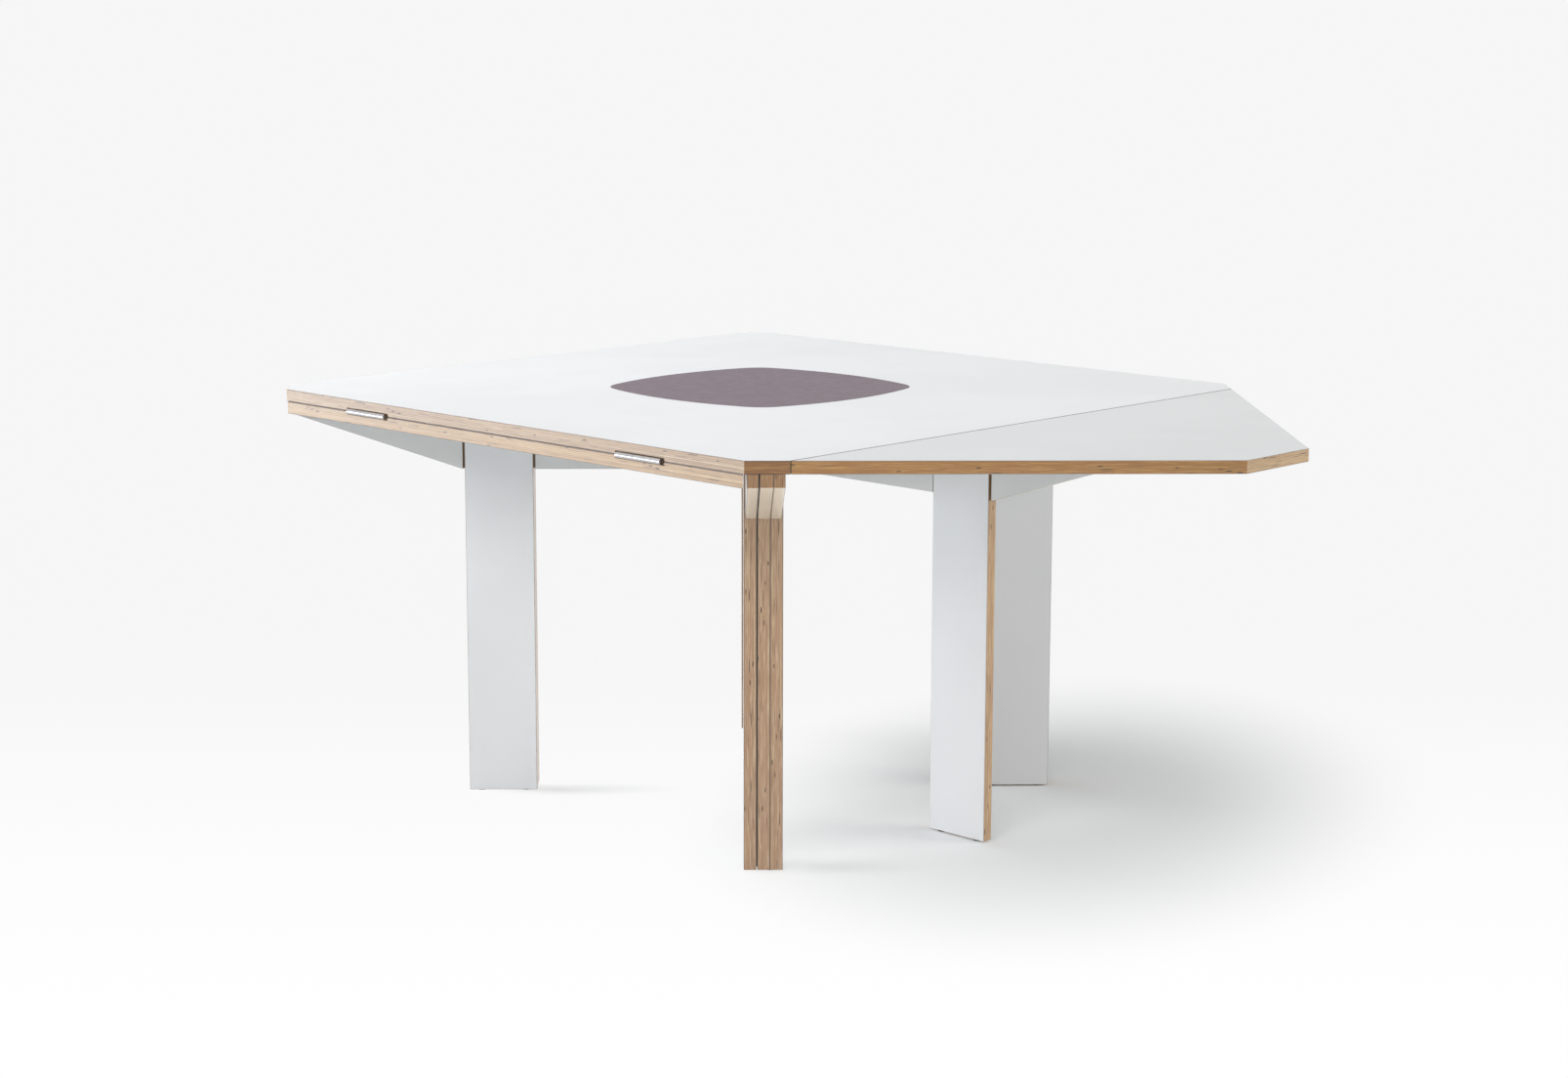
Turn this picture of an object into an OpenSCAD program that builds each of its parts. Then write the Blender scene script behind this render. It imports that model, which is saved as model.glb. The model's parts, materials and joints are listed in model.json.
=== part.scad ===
// Square table on a cross of beams. Four leaves, triangles with a clipped point, fold under
// the top, and four gates with a leg each swing out to carry the leaves that are opened.
// The origin is on the floor under the middle of the table, in millimetres. The corners of
// the top point along X and Y, and the front corner points along -Y.

/* [Top] */
// Height of the table surface above the floor
table_h = 740; // [700:5:780]
// Side of the square top, between its corners before they are cut
top_side = 1240; // [1150:10:1400]
// Thickness of the top and of each leaf
panel_t = 21; // [18:1:30]
// Thickness of the laminate on each face of a panel
laminate_t = 0.9; // [0.5:0.1:1.2]

/* [Inlay] */
// Distance from the middle of the top to each corner of the inlay
inlay_reach = 268; // [240:1:290]
// Radius of the inlay's bowed sides
inlay_side_r = 528; // [450:1:900]
// Radius of the inlay's round corners
inlay_corner_r = 63.5; // [30:0.5:80]
// Thickness of the inlay
inlay_t = 2; // [1.5:0.1:3]
// Gap around the inlay
inlay_gap = 0.2; // [0.1:0.05:0.5]

/* [Leaves] */
// Depth of a leaf, from its hinged edge to its clipped point
leaf_depth = 488; // [400:2:530]
// Gap between a folded leaf and the underside of the top
leaf_gap = 1; // [0.8:0.1:2]
// Gap between the edges of the top and of an opened leaf
seam_gap = 2.4; // [0.6:0.1:4]
// Gap between the side of a folded leaf and the gate leg beside it
leaf_side_gap = 1; // [0.8:0.1:4]

/* [Hinges] */
// Length of a hinge
hinge_len = 102; // [80:1:130]
// Radius of a hinge's barrel
hinge_r = 5; // [4:0.1:6]
// Radius of a hinge's pin
hinge_pin_r = 2.5; // [1.5:0.1:3]
// Distance from a sharp corner of the top to the middle of the nearest hinge
hinge_corner = 278; // [220:1:360]
// Width of a flap, from the pin to its far edge
flap_w = 30; // [26:1:40]
// Thickness of a flap
flap_t = 1.5; // [1.2:0.1:2]
// Gap between neighbouring knuckles, and between a knuckle and the flap beside it
knuckle_gap = 0.3; // [0.2:0.05:0.6]
// Gap around the barrel in its recess
pocket_gap = 1; // [0.6:0.1:2]
// Length by which the recess runs past each end of the barrel
pocket_end = 5; // [2:0.5:8]

/* [Frame] */
// Thickness of the two centre beams
beam_t = 21; // [18:1:27]
// Height of the beams and arms
beam_h = 124; // [100:1:150]
// Thickness of the outer arms and of the gate arms
arm_t = 18; // [15:1:24]
// Height of a beam or arm at its tip
tip_h = 21; // [15:1:40]
// Distance from the cut corner of the top back to the tips
tip_back = 1.5; // [0.5:0.5:10]

/* [Legs] */
// Thickness of the leg boards
leg_t = 21; // [19:1:27]
// Width of the leg boards
leg_w = 122; // [80:1:150]
// Distance from the middle of the table to the middle of a leg
leg_mid = 468; // [400:1:520]
// Depth of the recess in an arm that a leg board is lapped into
lap_depth = 9; // [6:0.5:12]
// Width of the groove left on each side of a leg board in that recess
lap_margin = 3.5; // [1:0.5:6]
// Thickness of the glides
glide_t = 3; // [2:0.5:6]
// Distance between the two glides of a leg
glide_pitch = 80; // [50:1:90]
// Radius of the glides under the fixed legs
fixed_glide_r = 12; // [8:0.5:14]
// Radius of the glides under the gate legs
gate_glide_r = 8; // [5:0.5:9]

/* [Gates] */
// Angle by which the open gate stands away from its place beside the beam
gate_angle = 45; // [30:1:60]
// Gap between a closed gate and the centre beam
gate_gap = 1.5; // [1:0.1:4]
// Gap between the inner end of a gate and the arm that runs across it
gate_end_gap = 6.5; // [2:0.5:10]
// Gap between a gate and the surface above it
gate_top_gap = 0.3; // [0.2:0.05:1]
// Gap between a gate arm and the plate below it
gate_foot_gap = 0.5; // [0.3:0.1:1]
// Depth of the relief in a gate arm's upper edge, which passes under the hinges
relief_h = 8; // [7:0.5:12]
// Length by which the relief runs past the hinges at each end
relief_margin = 14; // [13:1:24]
// Radius of the gates' pivot pins
pivot_pin_r = 4; // [3:0.1:5]
// Depth to which a pivot pin stands in the top
pivot_pin_in = 12; // [8:1:14]
// Radius of a pivot pin's head
pivot_head_r = 7; // [6:0.5:9]
// Height of a pivot pin's head
pivot_head_h = 2; // [1:0.5:4]
// Side of the square pivot plate
pivot_plate_side = 136; // [130:1:160]
// Radius to which the pivot plate's corners are cut
pivot_plate_r = 82; // [76:1:90]
// Thickness of the pivot plate
pivot_plate_t = 4; // [3:0.5:8]

/* [Fixings] */
// Radius of the hinge screws
hinge_screw_r = 1.75; // [1.5:0.05:2.2]
// Radius of the hinge screws' heads
hinge_screw_head_r = 3.6; // [3:0.1:4]
// Length of the hinge screws
hinge_screw_len = 13; // [10:0.5:14]
// Distance between the screws of a flap
hinge_screw_pitch = 34; // [26:1:36]
// Distance from a hinge's pin to its screws
hinge_screw_in = 18; // [14:0.5:20]
// Radius of the screws that hold the top
top_screw_r = 2.25; // [2:0.05:3]
// Radius of those screws' heads
top_screw_head_r = 4.5; // [4:0.1:6]
// Height of those screws' heads
top_screw_head_h = 3; // [2:0.1:4]
// Length of those screws
top_screw_len = 60; // [45:1:75]
// Distances of those screws from the middle of the table
top_screw_at = [80, 200];
// Radius of the pivot plate's screws
plate_screw_r = 1.9; // [1.5:0.05:2.5]
// Radius of those screws' heads
plate_screw_head_r = 3.8; // [3:0.1:5]
// Height of those screws' heads
plate_screw_head_h = 2.4; // [2:0.1:3]
// Length of those screws
plate_screw_len = 30; // [20:1:40]
// Distance of those screws from the middle of the table
plate_screw_at = 58; // [52:1:60]
// Radius of the catch magnets and of the plates that they hold
catch_r = 10; // [6:0.5:15]
// Thickness of a catch magnet
magnet_t = 5; // [3:0.5:8]
// Thickness of a catch plate
catch_plate_t = 2; // [1:0.1:4]
// Distance from a leaf's clipped point back to its catch
catch_back = 48; // [30:1:80]

/* [Hidden] */
$fn = 96;

// Directions of the corners of the top, and of the middles of its sides
RIGHT = 0;
BACK = 90;
LEFT = 180;
FRONT = 270;
CORNERS = [RIGHT, BACK, LEFT, FRONT];
BACK_RIGHT = (RIGHT + BACK) / 2;
BACK_LEFT = (BACK + LEFT) / 2;
FRONT_LEFT = (LEFT + FRONT) / 2;
FRONT_RIGHT = FRONT + BACK_RIGHT;
SIDES = [BACK_RIGHT, BACK_LEFT, FRONT_LEFT, FRONT_RIGHT];

PLY = [0.80, 0.69, 0.54];
BOARD = [0.87, 0.88, 0.89];
FACE = [0.94, 0.95, 0.96];
LEAF_FACE = [0.87, 0.88, 0.89];
INLAY = [0.52, 0.48, 0.50];
CHROME = [0.78, 0.79, 0.81];
STEEL = [0.60, 0.61, 0.63];
NYLON = [0.30, 0.30, 0.31];

// Radial clearance of pins and screws, and clearance of flat recesses
fit = 0.05;
seat_gap = 0.1;
// Length by which a cut runs past the face that it starts at
over = 1;
// Steel in a hinge: five knuckles, in turn on the fixed and on the moving flap
knuckle_n = 5;
FIXED_KNUCKLES = [0:2:knuckle_n - 1];
MOVING_KNUCKLES = [1:2:knuckle_n - 1];

// Heights
face_z = table_h - laminate_t;
under_z = table_h - panel_t;
core_z = under_z + laminate_t;
inlay_z = table_h - inlay_t;
beam_z = under_z - beam_h;
gate_z = beam_z + gate_foot_gap;
gate_top_z = under_z - gate_top_gap;
axis_z = under_z - leaf_gap / 2;

// Distances in plan
beam_y = beam_t / 2;
arm_y = beam_y + arm_t;
leg_y = beam_y + leg_t;
gate_leg_y = beam_y + gate_gap + leg_t;
corner_cut = gate_leg_y + leaf_side_gap;
half_side = top_side / 2;
corner_reach = half_side * sqrt(2) - corner_cut;
tip_x = corner_reach - tip_back;
leg_in_x = leg_mid - leg_w / 2;
leg_out_x = leg_mid + leg_w / 2;
taper_x = leg_out_x + lap_margin;
pocket_w = hinge_r + pocket_gap;

// Line of the hinge pins of a side that faces +X, and the middles of its two hinges
axis_x = half_side + seam_gap / 2;
hinge_y = half_side - hinge_corner;
leaf_in_x = half_side + seam_gap;
leaf_out_x = axis_x + leaf_depth;
catch_x = leaf_depth - catch_back;

// Pivot of the right-hand gate, and the gate's parts as seen from it
pivot_x = arm_y + gate_end_gap + arm_t / 2;
pivot_y = -(beam_y + gate_gap + arm_t / 2);
proud = leg_t - arm_t;

// Distances from that pivot to the near and far ends of the hinges that its gate passes
pivot_u = (pivot_x - pivot_y) / sqrt(2);
pivot_v = (pivot_x + pivot_y) / sqrt(2);
hinge_end = hinge_y + hinge_len / 2;
relief_in = norm([axis_x - hinge_r - pivot_u, hinge_end - hinge_len - pivot_v]) - relief_margin;
relief_out = norm([axis_x + hinge_r - pivot_u, hinge_end + pivot_v]) + relief_margin;

// Centres of the inlay's corner arcs and side arcs
inlay_q = inlay_reach - inlay_corner_r;
inlay_arc = inlay_side_r - inlay_corner_r;
inlay_k = (sqrt(2 * inlay_arc * inlay_arc - inlay_q * inlay_q) - inlay_q) / 2;
// Direction of the point where a corner arc runs into a side arc, and the steps in each arc
inlay_turn = atan2(inlay_k, inlay_q + inlay_k);
inlay_corner_n = 12;
inlay_side_n = 20;

// Only the front right leaf stands open, and only the gate from the right corner is swung out.
function fold_of(side) = side == FRONT_RIGHT ? 0 : 180;
function swing_of(corner) = corner == RIGHT ? -gate_angle : 0;
function ordered(a, b) = [min(a, b), max(a, b)];

// A block given by its limits on each axis
module block(x, y, z) {
  translate([x[0], y[0], z[0]])
    cube([x[1] - x[0], y[1] - y[0], z[1] - z[0]]);
}

// Turns a piece drawn for the right-hand corner, or for a side that faces +X, to its own place
module at(direction) {
  rotate([0, 0, direction])
    children();
}

// Places a piece of an open leaf that faces +X on its own side, folded if that leaf is
module on_leaf(side) {
  at(side)
    translate([axis_x, 0, axis_z])
      rotate([0, fold_of(side), 0])
        translate([-axis_x, 0, -axis_z])
          children();
}

// Places a piece of a gate, drawn along +X from its pivot, at its own corner
module on_gate(corner) {
  at(corner)
    translate([pivot_x, pivot_y, 0])
      rotate([0, 0, swing_of(corner)])
        children();
}

// A board that stands on edge: its outline in X and Z, and the span of its thickness in Y
module upright(outline, y) {
  translate([0, y[1], 0])
    rotate([90, 0, 0])
      linear_extrude(y[1] - y[0])
        polygon(outline);
}

// A countersunk screw that points along +Z, with the flat of its head at z = 0
module screw(len, shank_r, head_r, head_h) {
  cylinder(r1 = head_r, r2 = shank_r, h = head_h);
  cylinder(r = shank_r, h = len);
}

// The hole that such a screw goes through, open below its head
module screw_cut(len, shank_r, head_r, head_h) {
  cylinder(r1 = head_r + fit, r2 = shank_r + fit, h = head_h);
  translate([0, 0, -over])
    cylinder(r = head_r + fit, h = over);
  cylinder(r = shank_r + fit, h = len + fit);
}

// Repeats a piece at the screws of the flap that lies on one side of the pin
module at_flap_screws(dir) {
  for (i = [-1:1])
    translate([axis_x + dir * hinge_screw_in, i * hinge_screw_pitch, under_z])
      children();
}

// Repeats a piece at the two hinges of a side
module at_hinges() {
  for (i = [-1, 1])
    translate([0, i * hinge_y, 0])
      children();
}

// Repeats a piece at the screws that hold the top, two along each arm
module at_top_screws() {
  for (corner = CORNERS, distance = top_screw_at)
    rotate([0, 0, corner])
      translate([distance, 0, 0])
        children();
}

// Repeats a piece at the pivot plate's screws: one in each beam and one in each outer arm
module at_plate_screws() {
  for (corner = CORNERS, y = [0, beam_y + arm_t / 2])
    rotate([0, 0, corner])
      translate([plate_screw_at, y, beam_z - pivot_plate_t])
        children();
}

// Outline of the top: a square on its corner, cut square across each corner
module top_outline() {
  intersection() {
    rotate(BACK_RIGHT)
      square(top_side, center = true);
    square(2 * corner_reach, center = true);
  }
}

// Outline of an open leaf that faces +X: its sides run on from the cut corners of the top
module leaf_outline() {
  reach = corner_reach * sqrt(2);
  polygon([
    [leaf_in_x, leaf_in_x - reach],
    [leaf_out_x, leaf_out_x - reach],
    [leaf_out_x, reach - leaf_out_x],
    [leaf_in_x, reach - leaf_in_x]
  ]);
}

// Points along an arc, from its first direction up to the point before its last
function arc_points(centre, radius, first, last, count) = [
  for (i = [0:count - 1])
    let (angle = first + (last - first) * i / count)
      centre + radius * [cos(angle), sin(angle)]
];

function turned(point, angle) = [
  point[0] * cos(angle) - point[1] * sin(angle),
  point[0] * sin(angle) + point[1] * cos(angle)
];

// Outline of the inlay: four bowed sides that run smoothly into round corners
module inlay_outline(grow) {
  corner_arc = arc_points([inlay_q, 0], inlay_corner_r + grow, -inlay_turn, inlay_turn, inlay_corner_n);
  side_arc = arc_points(
    [-inlay_k, -inlay_k], inlay_side_r + grow, inlay_turn, BACK - inlay_turn, inlay_side_n
  );
  polygon([for (corner = CORNERS, point = concat(corner_arc, side_arc)) turned(point, corner)]);
}

// The space cut for the inlay, down to the given height
module inlay_cut() {
  translate([0, 0, inlay_z])
    linear_extrude(inlay_t + over)
      inlay_outline(inlay_gap);
}

// The space that one hinge takes out of a panel on one side of its pin: the recess for the
// barrel, the seat of the flap and the screw holes
module hinge_cut(dir) {
  pocket_y = hinge_len / 2 + pocket_end;
  seat_y = hinge_len / 2 + seat_gap;
  block(
    ordered(axis_x - dir * over, axis_x + dir * pocket_w),
    [-pocket_y, pocket_y],
    [axis_z - over, axis_z + pocket_w]
  );
  block(
    ordered(axis_x, axis_x + dir * (flap_w + seat_gap)),
    [-seat_y, seat_y],
    [axis_z - over, under_z + flap_t]
  );
  at_flap_screws(dir)
    cylinder(r = hinge_screw_r + fit, h = hinge_screw_len + fit);
}

// The seats of the catch: a magnet under the top, and a plate in the leaf
module magnet_cut() {
  translate([axis_x - catch_x, 0, under_z - over])
    cylinder(r = catch_r + fit, h = magnet_t + over);
}

module catch_plate_cut() {
  translate([axis_x + catch_x, 0, under_z - over])
    cylinder(r = catch_r + fit, h = catch_plate_t + over);
}

// All that is cut into the top from below and above
module top_cuts() {
  for (side = SIDES)
    at(side) {
      at_hinges()
        hinge_cut(-1);
      magnet_cut();
    }
  for (corner = CORNERS)
    at(corner)
      translate([pivot_x, pivot_y, under_z - over])
        cylinder(r = pivot_pin_r + fit, h = pivot_pin_in + over + fit);
  at_top_screws()
    translate([0, 0, inlay_z])
      mirror([0, 0, 1])
        screw_cut(top_screw_len, top_screw_r, top_screw_head_r, top_screw_head_h);
  inlay_cut();
}

module top_core() {
  color(PLY)
    difference() {
      translate([0, 0, core_z])
        linear_extrude(face_z - core_z)
          top_outline();
      top_cuts();
    }
}

module top_face() {
  color(FACE)
    difference() {
      translate([0, 0, face_z])
        linear_extrude(laminate_t)
          top_outline();
      inlay_cut();
    }
}

module top_under_face() {
  color(FACE)
    difference() {
      translate([0, 0, under_z])
        linear_extrude(laminate_t)
          top_outline();
      top_cuts();
    }
}

module centre_inlay() {
  color(INLAY)
    translate([0, 0, inlay_z])
      linear_extrude(inlay_t)
        inlay_outline(0);
}

// All that is cut into an open leaf from below
module leaf_cuts() {
  at_hinges()
    hinge_cut(1);
  catch_plate_cut();
}

module leaf_core(side) {
  color(PLY)
    on_leaf(side)
      difference() {
        translate([0, 0, core_z])
          linear_extrude(face_z - core_z)
            leaf_outline();
        leaf_cuts();
      }
}

module leaf_face(side) {
  color(LEAF_FACE)
    on_leaf(side)
      translate([0, 0, face_z])
        linear_extrude(laminate_t)
          leaf_outline();
}

module leaf_under_face(side) {
  color(LEAF_FACE)
    on_leaf(side)
      difference() {
        translate([0, 0, under_z])
          linear_extrude(laminate_t)
            leaf_outline();
        leaf_cuts();
      }
}

// Span of one knuckle along the pin
function knuckle_span(i) = [
  (i / knuckle_n - 1 / 2) * hinge_len + knuckle_gap / 2,
  ((i + 1) / knuckle_n - 1 / 2) * hinge_len - knuckle_gap / 2
];

// One round bar along the pin of a hinge
module on_axis(radius, y) {
  translate([axis_x, y[0], axis_z])
    rotate([-90, 0, 0])
      cylinder(r = radius, h = y[1] - y[0]);
}

// A flap with its knuckles, on one side of the pin
module hinge_flap(dir, knuckles) {
  flap_z = [under_z, under_z + flap_t];
  root_x = hinge_r + knuckle_gap;
  difference() {
    union() {
      block(
        ordered(axis_x + dir * root_x, axis_x + dir * flap_w),
        [-hinge_len / 2, hinge_len / 2],
        flap_z
      );
      for (i = knuckles) {
        on_axis(hinge_r, knuckle_span(i));
        block(ordered(axis_x, axis_x + dir * (root_x + knuckle_gap)), knuckle_span(i), flap_z);
      }
    }
    on_axis(hinge_pin_r + fit, [-hinge_len, hinge_len]);
    at_flap_screws(dir)
      screw_cut(hinge_screw_len, hinge_screw_r, hinge_screw_head_r, flap_t);
  }
}

module hinge_flaps_top() {
  color(CHROME)
    for (side = SIDES)
      at(side)
        at_hinges()
          hinge_flap(-1, FIXED_KNUCKLES);
}

module hinge_flaps_leaf(side) {
  color(CHROME)
    on_leaf(side)
      at_hinges()
        hinge_flap(1, MOVING_KNUCKLES);
}

module hinge_pins() {
  color(STEEL)
    for (side = SIDES)
      at(side)
        at_hinges()
          on_axis(hinge_pin_r, [-hinge_len / 2, hinge_len / 2]);
}

// The screws of one hinge, on one side of the pin
module hinge_screws(dir) {
  at_flap_screws(dir)
    screw(hinge_screw_len, hinge_screw_r, hinge_screw_head_r, flap_t);
}

module hinge_screws_top() {
  color(STEEL)
    for (side = SIDES)
      at(side)
        at_hinges()
          hinge_screws(-1);
}

module hinge_screws_leaf(side) {
  color(STEEL)
    on_leaf(side)
      at_hinges()
        hinge_screws(1);
}

module catch_magnets() {
  color(STEEL)
    for (side = SIDES)
      at(side)
        translate([axis_x - catch_x, 0, under_z])
          cylinder(r = catch_r, h = magnet_t);
}

module catch_plate(side) {
  color(STEEL)
    on_leaf(side)
      translate([axis_x + catch_x, 0, under_z])
        cylinder(r = catch_r, h = catch_plate_t);
}

// A whole beam along X, square under the top and tapered below from the legs to its tips
module beam(slot_z) {
  difference() {
    upright([
      [-tip_x, under_z],
      [-tip_x, under_z - tip_h],
      [-taper_x, beam_z],
      [taper_x, beam_z],
      [tip_x, under_z - tip_h],
      [tip_x, under_z]
    ], [-beam_y, beam_y]);
    block([-beam_y - seat_gap, beam_y + seat_gap], [-beam_t, beam_t], slot_z);
    at_top_screws()
      translate([0, 0, inlay_z - top_screw_len - fit])
        cylinder(r = top_screw_r + fit, h = top_screw_len);
    at_plate_screws()
      cylinder(r = plate_screw_r + fit, h = plate_screw_len + fit);
  }
}

module beam_left_right() {
  color(BOARD)
    beam([beam_z + beam_h / 2, under_z + over]);
}

module beam_front_back() {
  color(BOARD)
    at(BACK)
      beam([beam_z - over, beam_z + beam_h / 2]);
}

module outer_arm(corner) {
  color(BOARD)
    at(corner)
      difference() {
        upright([
          [beam_y, beam_z],
          [taper_x, beam_z],
          [tip_x, under_z - tip_h],
          [tip_x, under_z],
          [beam_y, under_z]
        ], [beam_y, arm_y]);
        block(
          [leg_in_x - lap_margin, leg_out_x + lap_margin],
          [arm_y - lap_depth, arm_y + over],
          [beam_z - over, under_z + over]
        );
        translate([plate_screw_at, beam_y + arm_t / 2, beam_z - over])
          cylinder(r = plate_screw_r + fit, h = plate_screw_len - pivot_plate_t + over + fit);
      }
}

module leg_outer(corner) {
  color(BOARD)
    at(corner)
      difference() {
        block([leg_in_x, leg_out_x], [beam_y, leg_y], [glide_t, under_z]);
        block(
          [leg_in_x - over, leg_out_x + over],
          [beam_y - over, arm_y - lap_depth],
          [beam_z, under_z + over]
        );
      }
}

module leg_inner(corner) {
  color(BOARD)
    at(corner)
      block([leg_in_x, leg_out_x], [-beam_y, beam_y], [glide_t, beam_z]);
}

// A gate arm, with a round inner end on its pivot pin and a relief in its upper edge
module gate_arm(corner) {
  color(BOARD)
    on_gate(corner)
      difference() {
        union() {
          upright([
            [0, gate_z],
            [taper_x - pivot_x, gate_z],
            [tip_x - pivot_x, gate_top_z - tip_h],
            [tip_x - pivot_x, gate_top_z],
            [relief_out + relief_h, gate_top_z],
            [relief_out, gate_top_z - relief_h],
            [relief_in, gate_top_z - relief_h],
            [relief_in - relief_h, gate_top_z],
            [0, gate_top_z]
          ], [-arm_t / 2, arm_t / 2]);
          translate([0, 0, gate_z])
            cylinder(r = arm_t / 2, h = gate_top_z - gate_z);
        }
        translate([0, 0, gate_z - over])
          cylinder(r = pivot_pin_r + fit, h = beam_h + over);
        block(
          [leg_in_x - lap_margin - pivot_x, leg_out_x + lap_margin - pivot_x],
          [-arm_t / 2 - over, lap_depth - arm_t / 2],
          [gate_z - over, gate_top_z + over]
        );
      }
}

module gate_leg(corner) {
  x = [leg_in_x - pivot_x, leg_out_x - pivot_x];
  color(BOARD)
    on_gate(corner)
      difference() {
        block(x, [-arm_t / 2 - proud, arm_t / 2], [glide_t, gate_top_z]);
        block(
          [x[0] - over, x[1] + over],
          [lap_depth - arm_t / 2, arm_t / 2 + over],
          [gate_z, gate_top_z + over]
        );
      }
}

// The two glides of a leg, drawn along +X with the middle of the leg at the given place
module glides(x, y, radius) {
  for (i = [-1, 1])
    translate([x + i * glide_pitch / 2, y, 0])
      cylinder(r = radius, h = glide_t);
}

module gate_glides(corner) {
  on_gate(corner)
    glides(leg_mid - pivot_x, -proud / 2, gate_glide_r);
}

module gate_glides_right() {
  color(NYLON)
    gate_glides(RIGHT);
}

// The glides of the fixed legs, and of the three gates that stand closed
module foot_glides() {
  color(NYLON) {
    for (corner = CORNERS)
      at(corner)
        glides(leg_mid, leg_t / 2, fixed_glide_r);
    for (corner = [BACK, LEFT, FRONT])
      gate_glides(corner);
  }
}

module gate_pivot_pins() {
  head_z = beam_z - pivot_plate_t - pivot_head_h;
  color(STEEL)
    for (corner = CORNERS)
      at(corner)
        translate([pivot_x, pivot_y, head_z]) {
          cylinder(r = pivot_head_r, h = pivot_head_h);
          cylinder(r = pivot_pin_r, h = under_z + pivot_pin_in - head_z);
        }
}

module pivot_plate() {
  color(STEEL)
    difference() {
      translate([0, 0, beam_z - pivot_plate_t])
        linear_extrude(pivot_plate_t)
          intersection() {
            square(pivot_plate_side, center = true);
            circle(pivot_plate_r);
          }
      for (corner = CORNERS)
        at(corner)
          translate([pivot_x, pivot_y, beam_z - pivot_plate_t - over])
            cylinder(r = pivot_pin_r + fit, h = pivot_plate_t + 2 * over);
      at_plate_screws()
        screw_cut(plate_screw_len, plate_screw_r, plate_screw_head_r, plate_screw_head_h);
    }
}

module pivot_plate_screws() {
  color(STEEL)
    at_plate_screws()
      screw(plate_screw_len, plate_screw_r, plate_screw_head_r, plate_screw_head_h);
}

module top_screws() {
  color(STEEL)
    at_top_screws()
      translate([0, 0, inlay_z])
        mirror([0, 0, 1])
          screw(top_screw_len, top_screw_r, top_screw_head_r, top_screw_head_h);
}

top_core();
top_face();
top_under_face();
centre_inlay();
leaf_core(FRONT_LEFT);  // leaf_core_front_left
leaf_core(FRONT_RIGHT);  // leaf_core_front_right
leaf_core(BACK_LEFT);  // leaf_core_back_left
leaf_core(BACK_RIGHT);  // leaf_core_back_right
leaf_face(FRONT_LEFT);  // leaf_face_front_left
leaf_face(FRONT_RIGHT);  // leaf_face_front_right
leaf_face(BACK_LEFT);  // leaf_face_back_left
leaf_face(BACK_RIGHT);  // leaf_face_back_right
leaf_under_face(FRONT_LEFT);  // leaf_under_face_front_left
leaf_under_face(FRONT_RIGHT);  // leaf_under_face_front_right
leaf_under_face(BACK_LEFT);  // leaf_under_face_back_left
leaf_under_face(BACK_RIGHT);  // leaf_under_face_back_right
hinge_flaps_top();
hinge_pins();
hinge_screws_top();
hinge_flaps_leaf(FRONT_LEFT);  // hinge_flaps_front_left
hinge_flaps_leaf(FRONT_RIGHT);  // hinge_flaps_front_right
hinge_flaps_leaf(BACK_LEFT);  // hinge_flaps_back_left
hinge_flaps_leaf(BACK_RIGHT);  // hinge_flaps_back_right
hinge_screws_leaf(FRONT_LEFT);  // hinge_screws_front_left
hinge_screws_leaf(FRONT_RIGHT);  // hinge_screws_front_right
hinge_screws_leaf(BACK_LEFT);  // hinge_screws_back_left
hinge_screws_leaf(BACK_RIGHT);  // hinge_screws_back_right
catch_magnets();
catch_plate(FRONT_LEFT);  // catch_plate_front_left
catch_plate(FRONT_RIGHT);  // catch_plate_front_right
catch_plate(BACK_LEFT);  // catch_plate_back_left
catch_plate(BACK_RIGHT);  // catch_plate_back_right
beam_left_right();
beam_front_back();
outer_arm(RIGHT);  // outer_arm_right
outer_arm(BACK);  // outer_arm_back
outer_arm(LEFT);  // outer_arm_left
outer_arm(FRONT);  // outer_arm_front
leg_outer(RIGHT);  // leg_outer_right
leg_outer(BACK);  // leg_outer_back
leg_outer(LEFT);  // leg_outer_left
leg_outer(FRONT);  // leg_outer_front
leg_inner(RIGHT);  // leg_inner_right
leg_inner(BACK);  // leg_inner_back
leg_inner(LEFT);  // leg_inner_left
leg_inner(FRONT);  // leg_inner_front
gate_arm(RIGHT);  // gate_arm_right
gate_arm(BACK);  // gate_arm_back
gate_arm(LEFT);  // gate_arm_left
gate_arm(FRONT);  // gate_arm_front
gate_leg(RIGHT);  // gate_leg_right
gate_leg(BACK);  // gate_leg_back
gate_leg(LEFT);  // gate_leg_left
gate_leg(FRONT);  // gate_leg_front
gate_pivot_pins();
pivot_plate();
pivot_plate_screws();
top_screws();
foot_glides();
gate_glides_right();
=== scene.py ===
"""A square table with four fold-under leaves and four gate legs, dressed for the studio."""

import json
import logging
import math
from dataclasses import dataclass, replace
from enum import Enum

import bmesh
import bpy
from mathutils import Matrix, Vector

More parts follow.
